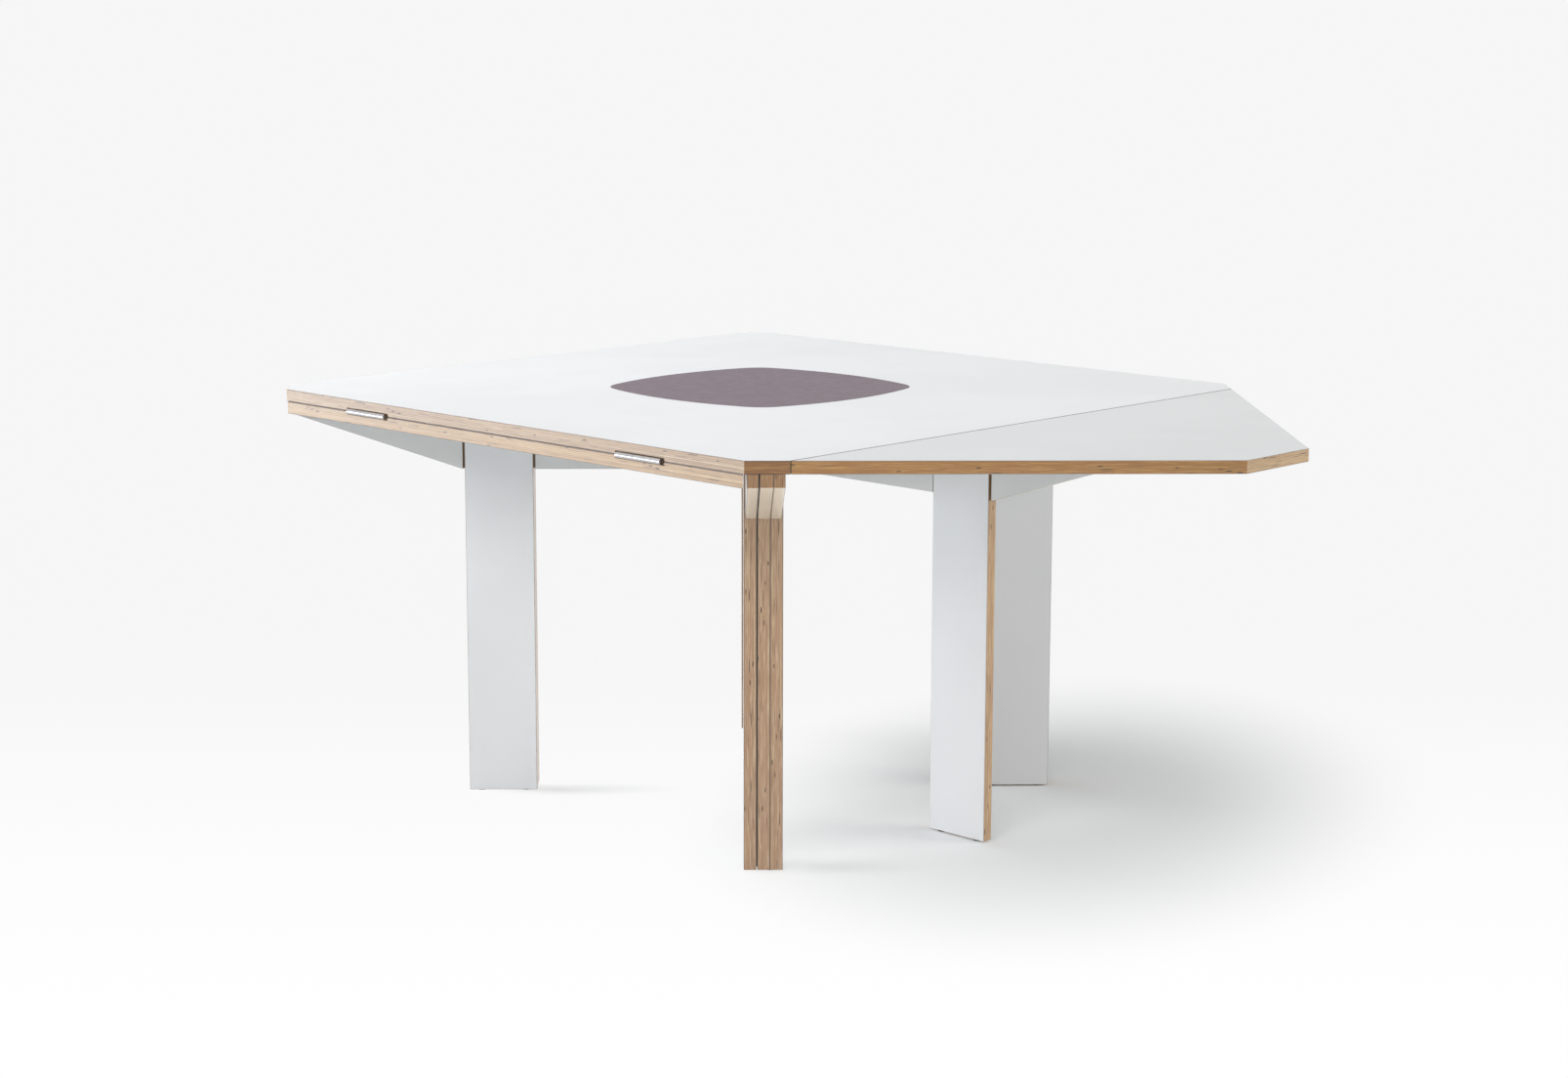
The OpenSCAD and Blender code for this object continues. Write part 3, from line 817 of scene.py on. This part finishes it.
@dataclass(frozen=True)
class Arris:
    """Eases the sharp edges of a node without touching its own mesh."""

    smooth_below: float = math.radians(30.0)
    ease_above: float = math.radians(35.0)
    flat_within: float = math.radians(1.0)
    weld: float = 0.001 * MM
    segments: int = 2

    def cleaner(self) -> bpy.types.NodeTree:
        """The modifier's nodes: one skin, shaded smooth except across sharp edges.

        Returns:
            The node group.
        """
        name, sockets = "one_skin", {"Geometry": "Geometry"}
        if name in bpy.data.node_groups:
            return bpy.data.node_groups[name]
        sheet = new_group(name, "GeometryNodeTree", sockets, sockets)
        inputs = {"Geometry": sheet.put("NodeGroupInput", 0), "Name": "custom_normal"}
        bare = sheet.put("GeometryNodeRemoveAttribute", 0, inputs)
        inputs = {"Geometry": bare, "Distance": self.weld}
        skin = sheet.put("GeometryNodeMergeByDistance", 0, inputs)
        angle = sheet.put("GeometryNodeInputMeshEdgeAngle", "Unsigned Angle")
        gentle = sheet.maths("LESS_THAN", angle, self.smooth_below)
        for domain, smooth in (("FACE", True), ("EDGE", gentle)):
            inputs = {"Geometry": skin, "Shade Smooth": smooth}
            skin = sheet.put("GeometryNodeSetShadeSmooth", 0, inputs, domain=domain)
        sheet.node("NodeGroupOutput", {0: skin})
        return sheet.tree

    def skin(self, piece: Piece) -> None:
        """Makes a piece one skin, smooth except across its sharp edges."""
        piece.modifiers.new("one_skin", "NODES").node_group = self.cleaner()

    def ease(self, piece: Piece, width: float) -> None:
        """Makes a piece one skin with eased edges.

        Args:
            piece: The piece's object.
            width: The width of the eased edge in metres.
        """
        self.skin(piece)
        flat = piece.modifiers.new("flat_faces", "DECIMATE")
        flat.decimate_type = "DISSOLVE"
        flat.angle_limit = self.flat_within
        bevel = piece.modifiers.new("eased_edges", "BEVEL")
        bevel.width = width
        bevel.segments = self.segments
        bevel.limit_method = "ANGLE"
        bevel.angle_limit = self.ease_above
        bevel.use_clamp_overlap = False
        bevel.harden_normals = True


@dataclass
class Assembly:
    """What all the sub-assemblies share: the finishes, the eased edges and the log."""

    finishes: Finishes
    arris: Arris = Arris()

    def dress(self, name: str, material: Material, ease: float) -> None:
        """Gives a node its material and its eased edges.

        Args:
            name: The node.
            material: Its material.
            ease: The width of its eased edges in metres.
        """
        piece = frame["nodes"][name]
        for slot in piece.material_slots:
            slot.material = material
        self.arris.ease(piece, ease)
        LOG.info("dressed %s in %s", name, material.name)

    def wall(self, shape: Shape, first: Loop, second: Loop) -> None:
        """Joins two closed outlines of as many points with a wall."""
        for face in zip(first, first[1:] + first[:1], second[1:] + second[:1], second):
            shape.faces.new(face)

    def reach(self, name: str, across: Point) -> Span:
        """The lowest and the highest distance of a node's points along a direction."""
        along = [vertex.co.dot(Vector(across)) for vertex in frame["nodes"][name].data.vertices]
        return min(along), max(along)


@dataclass
class Panel(Assembly):
    """The top or a leaf: a birch core between two sheets of laminate."""

    core_ease: float = 0.15 * MM
    face_ease: float = 0.55 * MM
    veneers: int = 13

    def lay(
        self, core: str, birch: Birch, faces: tuple[str, str], laminate: Laminate, joint: Point
    ) -> None:
        """Dresses the panel's layers.

        Args:
            core: The core's node.
            birch: Its finish.
            faces: The nodes of the laminate sheets.
            laminate: Their finish.
            joint: The direction of the edge along an opened leaf, where the laminate's edges get a
                painted seam shade, or ORIGIN if there is none.
        """
        low, high = self.reach(core, Z_AXIS)
        veneer = (high - low) / self.veneers
        self.dress(core, birch.coat("birch_" + core, Z_AXIS, low, veneer), self.core_ease)
        for name in faces:
            self.dress(name, laminate.coat("laminate_" + name, Z_AXIS, joint), self.face_ease)


@dataclass
class TableTop(Panel):
    """The fixed square top with its inlay."""

    inlay_ease: float = 0.25 * MM

    def build(self) -> None:
        """Dresses the top's layers and its inlay."""
        finishes = self.finishes
        # The top's laminate edges along the opened front-right leaf get the painted seam shade.
        faces, joint = ("top_face", "top_under_face"), heading(Side.FRONT_RIGHT.value)
        self.lay("top_core", finishes.top_birch, faces, finishes.top_white, joint)
        self.dress("centre_inlay", finishes.linoleum.coat("inlay_sheet"), self.inlay_ease)


@dataclass
class Leaf(Panel):
    """One leaf with the plate of its catch."""

    side: Side = Side.FRONT_RIGHT
    plate_ease: float = 0.2 * MM

    def build(self) -> None:
        """Dresses the leaf's layers and its catch plate."""
        end, finishes = self.side.label, self.finishes
        faces = ("leaf_face_" + end, "leaf_under_face_" + end)
        self.lay("leaf_core_" + end, finishes.leaf_birch, faces, finishes.leaf_white, ORIGIN)
        steel = finishes.steel.coat("plate_steel_" + end)
        self.dress("catch_plate_" + end, steel, self.plate_ease)


@dataclass
class CrossScrews(Assembly):
    """Countersunk screws with a cross recess, each one where a plain one is packed."""

    packed: str = "hinge_screws_top"
    spread: float = 8.0 * MM
    level_digits: int = 5
    around: int = 32
    arms: int = 4
    arm_reach: float = 0.56
    arm_width: float = 0.15
    bottom: float = 0.5
    depth: float = 0.8
    turn: float = 2.4

    def sites(self) -> list[list[Vector]]:
        """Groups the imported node's points by the screw that they belong to.

        Returns:
            One list of points for each screw.
        """
        groups: list[list[Vector]] = []
        for vertex in frame["nodes"][self.packed].data.vertices:
            for group in groups:
                if (group[0].xy - vertex.co.xy).length < self.spread:
                    group.append(vertex.co.copy())
                    break
            else:
                groups.append([vertex.co.copy()])
        return groups

    def profile(self, points: list[Vector]) -> tuple[Vector, list[Span]]:
        """Measures one packed screw.

        Args:
            points: Its points.

        Returns:
            The middle of its head, and each ring's height and radius from the head to the tip.
        """
        level_parts = [[point[axis] for point in points] for axis in range(2)]
        middle = Vector([(min(part) + max(part)) / 2 for part in level_parts])
        rings: dict[float, float] = {}
        for point in points:
            level = round(point.z, self.level_digits)
            rings[level] = max(rings.get(level, 0.0), (point.xy - middle).length)
        order = sorted(rings.items())
        return middle, order if order[0][1] > order[-1][1] else order[::-1]

    def loop(self, shape: Shape, middle: Vector, outline: list[Vector], level: float) -> Loop:
        """Adds the points of a closed outline round the screw's middle, at a level."""
        return [shape.verts.new((*(middle + point), level)) for point in outline]

    def screw(self, shape: Shape, points: list[Vector], turn: float) -> None:
        """Makes one screw.

        Args:
            shape: The mesh in the making.
            points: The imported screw's points.
            turn: The angle that its recess is turned to.
        """
        middle, rings = self.profile(points)
        steps = [2 * math.pi * i / self.around for i in range(self.around)]
        circles = []
        for level, radius in rings:
            outline = [Vector((radius * math.cos(step), radius * math.sin(step))) for step in steps]
            circles.append(self.loop(shape, middle, outline, level))
        for first, second in zip(circles, circles[1:]):
            self.wall(shape, first, second)
        shape.faces.new(circles[-1])
        (head, radius), (neck, _) = rings[:2]
        reach, half = radius * self.arm_reach, radius * self.arm_width
        corner = [Vector((reach, -half)), Vector((reach, half)), Vector((half, half))]
        turns = [Matrix.Rotation(turn + 2 * math.pi / self.arms * i, 2) for i in range(self.arms)]
        cross = [rotation @ point for rotation in turns for point in corner]
        mouth = self.loop(shape, middle, cross, head)
        sunk = head + (neck - head) * self.depth
        floor = self.loop(shape, middle, [point * self.bottom for point in cross], sunk)
        self.wall(shape, mouth, floor)
        shape.faces.new(floor)
        pairs = [pair for ring in (circles[0], mouth) for pair in zip(ring, ring[1:] + ring[:1])]
        rims = [shape.edges.get(pair) for pair in pairs]
        bmesh.ops.triangle_fill(shape, edges=rims, use_beauty=True)

    def build(self) -> None:
        """Makes the screws in one piece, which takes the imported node's place."""
        shape = bmesh.new()
        for number, points in enumerate(self.sites()):
            self.screw(shape, points, self.turn * number)
        bmesh.ops.recalc_face_normals(shape, faces=shape.faces)
        steel = self.finishes.plated.coat("steel_" + self.packed)
        piece = make_piece("cross_" + self.packed, shape, steel)
        self.arris.skin(piece)
        node = frame["nodes"][self.packed]
        body = next(name for name, empty in frame["bodies"].items() if empty == node.parent)
        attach(piece, body)
        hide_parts(self.packed)


@dataclass
class Hinges(Assembly):
    """All the hinges: flaps with their knuckles, pins and screws."""

    ease: float = 0.25 * MM
    pin_ease: float = 0.12 * MM

    def build(self) -> None:
        """Dresses the hinges."""
        chrome = self.finishes.chrome.coat("hinge_chrome")
        self.dress("hinge_pins", self.finishes.steel.coat("hinge_pin_steel"), self.pin_ease)
        for end in ("top", *(side.label for side in Side)):
            self.dress("hinge_flaps_" + end, chrome, self.ease)
            CrossScrews(self.finishes, packed="hinge_screws_" + end).build()


@dataclass
class BoardWork(Assembly):
    """Anything cut from faced boards that stand on edge."""

    ease: float = 0.7 * MM

    def board(self, name: str, stock: FacedBoard, facing: float) -> None:
        """Dresses one board.

        Args:
            name: The board's node.
            stock: What it is cut from.
            facing: The direction in degrees that its thickness runs in.
        """
        across = heading(facing)
        low, high = self.reach(name, across)
        self.dress(name, stock.coat("board_" + name, across, low, high - low), self.ease)


@dataclass
class CrossFrame(BoardWork):
    """The two beams that cross under the top, with the outer arms glued along them."""

    def build(self) -> None:
        """Dresses the beams and the outer arms."""
        stock = self.finishes.arm_board
        self.board("beam_left_right", stock, Corner.BACK.value)
        self.board("beam_front_back", stock, Corner.RIGHT.value)
        for corner in Corner:
            self.board("outer_arm_" + corner.label, stock, corner.value + ACROSS)


@dataclass
class FixedLegs(BoardWork):
    """The four fixed legs, two boards each."""

    def build(self) -> None:
        """Dresses the legs' boards."""
        stock = self.finishes.leg_board
        for corner in Corner:
            for layer in ("leg_outer_", "leg_inner_"):
                self.board(layer + corner.label, stock, corner.value + ACROSS)


@dataclass
class Gate(BoardWork):
    """A gate: an arm that pivots near the middle of the table, and its leg."""

    corner: Corner = Corner.RIGHT
    swing: float = 0.0

    def build(self) -> None:
        """Dresses the gate's boards."""
        finishes, end = self.finishes, self.corner.label
        facing = self.corner.value + self.swing + ACROSS
        # The opened gate takes the lit copies of the boards, with painted light on their edges.
        arm = finishes.open_arm_board if self.swing else finishes.arm_board
        leg = finishes.open_leg_board if self.swing else finishes.leg_board
        self.board("gate_arm_" + end, arm, facing)
        self.board("gate_leg_" + end, leg, facing)


@dataclass
class GateShadeStrip(Assembly):
    """A near-black strip on a gate's leg, which rests against the fixed leg when the gate closes: a
    dark thing put in the gap as painted shade.
    """

    corner: Corner = Corner.RIGHT
    swing: float = 0.0
    body: str = "table"
    along: Span = (515.0 * MM, 526.0 * MM)
    across: Span = (-12.05 * MM, -10.7 * MM)
    height: Span = (8.0 * MM, 585.0 * MM)
    pivot: Point = (44.0 * MM, -21.0 * MM, 0.0)
    rows: int = 24
    rounding: float = 0.3 * MM

    def build(self) -> None:
        """Makes the strip, closed against the leg, and swings it out with its gate."""
        shape = bmesh.new()
        (near, far), (glued, out), (low, high) = self.along, self.across, self.height
        ring = [(near, glued), (far, glued), (far, out), (near, out)]
        levels = [low + (high - low) * row / self.rows for row in range(self.rows + 1)]
        rows = [[shape.verts.new((x, y, level)) for x, y in ring] for level in levels]
        for lower, upper in zip(rows, rows[1:]):
            self.wall(shape, lower, upper)
        shape.faces.new(rows[0])
        shape.faces.new(rows[-1])
        bmesh.ops.recalc_face_normals(shape, faces=shape.faces)
        for degrees, middle in ((self.swing, self.pivot), (self.corner.value, ORIGIN)):
            turn = Matrix.Rotation(math.radians(degrees), 3, "Z")
            bmesh.ops.rotate(shape, verts=shape.verts, cent=middle, matrix=turn)
        name = self.corner.label
        # The strip stands in for the shadow in the gap: painted shade.
        felt = make_piece("gate_felt_" + name, shape, self.finishes.felt.coat("felt_" + name))
        self.arris.ease(felt, self.rounding)
        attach(felt, self.body)


@dataclass
class Fixings(Assembly):
    """Glides, pivots, catches and the hidden screws."""

    glide_ease: float = 0.4 * MM
    plate_ease: float = 0.3 * MM

    def build(self) -> None:
        """Dresses the fixings."""
        nylon = self.finishes.nylon.coat("glide_nylon")
        steel = self.finishes.steel.coat("fixing_steel")
        for name in ("foot_glides", "gate_glides_right"):
            self.dress(name, nylon, self.glide_ease)
        for name in ("gate_pivot_pins", "pivot_plate", "catch_magnets"):
            self.dress(name, steel, self.plate_ease)
        for name in ("pivot_plate_screws", "top_screws"):
            CrossScrews(self.finishes, packed=name).build()


@dataclass(frozen=True)
class SoftLamp:
    """A flat studio lamp that looks at a point."""

    name: str
    place: Point
    target: Point
    width: float
    height: float
    power: float
    tint: Rgb = WHITE
    mirrored: bool = False

    def hang(self) -> None:
        """Puts the lamp in the studio."""
        data = bpy.data.lights.new(self.name, "AREA")
        data.shape = "RECTANGLE"
        data.size = self.width
        data.size_y = self.height
        data.energy = self.power
        data.color = self.tint
        lamp = bpy.data.objects.new(self.name, data)
        lamp.location = self.place
        lamp.visible_glossy = self.mirrored
        ahead = Vector(self.target) - Vector(self.place)
        lamp.rotation_euler = ahead.to_track_quat("-Z", "Y").to_euler()
        bpy.context.scene.collection.objects.link(lamp)
        LOG.info("hung %s", self.name)


@dataclass(frozen=True)
class FootShade:
    """A long patch beside a leg's foot where the floor keeps part of its own shade."""

    middle: Point
    reach: float
    depth: float
    share: float

    def left_over(self, coat: Coat) -> Value:
        """How much of the floor's fade the patch lets through.

        Args:
            coat: The floor's material.

        Returns:
            The share.
        """
        scale = (1.0 / self.reach, 1.0 / self.depth, 0.0)
        offset = coat.vector("MULTIPLY", coat.place - self.middle, scale)
        out = coat.ramp(coat.vector("LENGTH", offset), 0.0, 1.0)
        return coat.maths("MULTIPLY_ADD", out, self.share, 1.0 - self.share)


@dataclass
class Studio:
    """The pale floor, the plain light around it and the lamps."""

    horizon: float = 0.922
    ambient: float = 0.15
    floor_radius: float = 14.0
    floor_sides: int = 96
    floor_drop: float = 0.15 * MM
    floor_paint: float = 0.78
    floor_specks: Grain = (40.0, 3.0)
    speck_shade: float = 0.985
    floor_lift: Rgb = (0.05, 0.065, 0.08)
    front_bounce: float = 0.5
    bounce_middle: Point = (0.0, -1.5, 0.0)
    bounce_fade: Span = (0.3, 1.3)
    shadow_middle: Point = (0.557, -0.086, 0.0)
    shadow_along: Point = (-0.284, 0.771, 0.0)
    shadow_fade: Span = (0.16, 0.744)
    back_fade: Span = (-1.6, 1.4)
    away_fade: Span = (2.6, 5.6)
    foot_shades: tuple[FootShade, ...] = (
        FootShade((0.13, -0.5, 0.0), 0.2, 0.06, 0.7),
        FootShade((-0.32, -0.02, 0.0), 0.2, 0.05, 0.6),
    )
    lamps: tuple[SoftLamp, ...] = (
        SoftLamp("front_softbox", (-1.2, -3.4, 2.6), (0.0, 0.0, 0.5), 2.6, 1.8, 72.0),
        SoftLamp("back_softbox", (-2.4, 1.8, 2.4), (0.0, 0.0, 0.5), 2.2, 2.2, 69.0),
        SoftLamp("top_softbox", (-0.2, 0.2, 3.3), (0.0, 0.0, 0.5), 2.4, 2.4, 22.0),
        SoftLamp("right_panel", (3.4, -0.6, 1.3), (0.0, 0.0, 0.6), 1.8, 1.6, 61.0, WARM),
        SoftLamp("left_panel", (-3.4, -0.1, 0.95), (0.0, 0.0, 0.72), 1.5, 1.3, 8.0, COOL),
        SoftLamp("low_panel", (-3.4, -0.2, 0.47), (0.0, -0.2, 0.55), 2.3, 0.9, 24.0, COOL, True),
    )

    def build(self) -> None:
        """Sets up the studio."""
        bpy.context.scene.view_settings.view_transform = "Standard"
        self.sky()
        self.floor()
        for lamp in self.lamps:
            lamp.hang()

    def seen(self, sheet: NodeSheet) -> tuple[Value, Value]:
        """The rays that see the studio itself.

        Args:
            sheet: The tree that asks.

        Returns:
            The share of them that sees it straight, and that sees it mirrored or through glass.
        """
        path = sheet.node("ShaderNodeLightPath").outputs
        mirrored = sheet.maths("MAXIMUM", path["Is Glossy Ray"], path["Is Transmission Ray"])
        return Value(sheet, path["Is Camera Ray"]), mirrored

    def sky(self) -> None:
        """Makes the world: an even light, seen as a pale grey backdrop."""
        world = bpy.data.worlds.new("studio_world")
        world.use_nodes = True
        bpy.context.scene.world = world
        sheet = NodeSheet(world.node_tree)
        light, shown = (
            sheet.put("ShaderNodeBackground", 0, {"Color": colour, "Strength": strength})
            for colour, strength in ((WHITE, self.ambient), ((self.horizon,) * 3, 1.0))
        )
        share = sheet.maths("MAXIMUM", *self.seen(sheet))
        sheet.node("ShaderNodeOutputWorld", {"Surface": sheet.blend(share, light, shown)})

    def floor_coat(self) -> Material:
        """The floor's paint: white near the table, and running into the backdrop further out.

        Returns:
            The material.
        """
        coat = Coat("studio_floor_paint")
        place = coat.place
        tones = ((tone,) * 3 for tone in (self.floor_paint, self.floor_paint * self.speck_shade))
        paint = coat.mix(coat.noise(place, *self.floor_specks), *tones)
        diffuse = coat.put("ShaderNodeBsdfDiffuse", 0, {"Color": paint})

        # The backdrop, white in front and grey at the horizon.
        back = coat.ramp(coat.put("ShaderNodeSeparateXYZ", "Y", {0: place}), *self.back_fade)
        away = coat.ramp(coat.vector("LENGTH", place), *self.away_fade)
        grey = (self.horizon,) * 3
        far = coat.glow(coat.mix(coat.maths("MAXIMUM", back, away), WHITE, grey))

        # What is seen straight: the lit floor round the shadow, and the backdrop elsewhere.
        offset = place - self.shadow_middle
        axes = {"X": offset.dot(X_AXIS), "Y": offset.dot(self.shadow_along)}
        distance = coat.vector("LENGTH", coat.put("ShaderNodeCombineXYZ", 0, axes))
        out = coat.ramp(distance, *self.shadow_fade)
        for shade in self.foot_shades:
            out = out * shade.left_over(coat)
        shown = coat.blend(out, coat.sum(diffuse, coat.glow(self.floor_lift)), far)

        # What lights the table: the floor with some light of its own in front.
        distance = coat.vector("LENGTH", place - self.bounce_middle)
        front = 1.0 - coat.ramp(distance, *self.bounce_fade)
        lit = coat.sum(diffuse, coat.glow(WHITE, front * self.front_bounce))
        straight, mirrored = self.seen(coat)
        above = coat.blend(straight, coat.blend(mirrored, lit, far), shown)

        below = coat.put("ShaderNodeNewGeometry", "Backfacing")
        clear = coat.put("ShaderNodeBsdfTransparent", 0)
        coat.node("ShaderNodeOutputMaterial", {"Surface": coat.blend(below, above, clear)})
        return coat.material

    def floor(self) -> None:
        """Lays the floor, a wide disc just under the glides."""
        shape, radius = bmesh.new(), self.floor_radius
        bmesh.ops.create_circle(shape, cap_ends=True, radius=radius, segments=self.floor_sides)
        floor = make_piece("studio_floor", shape, self.floor_coat())
        floor.location.z = -self.floor_drop


@dataclass(frozen=True)
class Viewpoint:
    """The camera, standing a little left of the middle and looking slightly down."""

    place: Point = (-0.06, -5.081457, 1.420427)
    pitch: float = 0.17006
    yaw: float = -0.02029
    roll: float = 0.00219
    lens: float = 65.497
    sensor: float = 36.0
    shift: float = -0.03

    def build(self) -> None:
        """Sets up the camera."""
        level = Vector((-math.sin(self.yaw), math.cos(self.yaw), 0.0))
        right = Vector((math.cos(self.yaw), math.sin(self.yaw), 0.0))
        ahead = math.cos(self.pitch) * level - math.sin(self.pitch) * Vector(Z_AXIS)
        up = math.sin(self.pitch) * level + math.cos(self.pitch) * Vector(Z_AXIS)
        turned_right = math.cos(self.roll) * right + math.sin(self.roll) * up
        turned_up = math.cos(self.roll) * up - math.sin(self.roll) * right
        data = bpy.data.cameras.new("viewpoint")
        data.lens = self.lens
        data.sensor_width = self.sensor
        data.shift_y = self.shift
        camera = bpy.data.objects.new("viewpoint", data)
        axes = Matrix((turned_right, turned_up, -ahead)).transposed()
        camera.matrix_world = Matrix.Translation(self.place) @ axes.to_4x4()
        bpy.context.scene.collection.objects.link(camera)
        bpy.context.scene.camera = camera
        LOG.info("set the camera")


def main() -> None:
    """Builds the table and its studio.
    """
    logging.basicConfig(level=logging.INFO, format="%(message)s")
    finishes = Finishes()
    Viewpoint().build()
    Studio().build()
    TableTop(finishes).build()
    for side in Side:
        Leaf(finishes, side=side).build()
    Hinges(finishes).build()
    CrossFrame(finishes).build()
    FixedLegs(finishes).build()
    for corner in Corner:
        opened = corner is Corner.RIGHT
        swing, body = (OPEN_SWING, "gate_right") if opened else (0.0, "table")
        Gate(finishes, corner=corner, swing=swing).build()
        GateShadeStrip(finishes, corner=corner, swing=swing, body=body).build()
    Fixings(finishes).build()


if __name__ == "__main__":
    main()
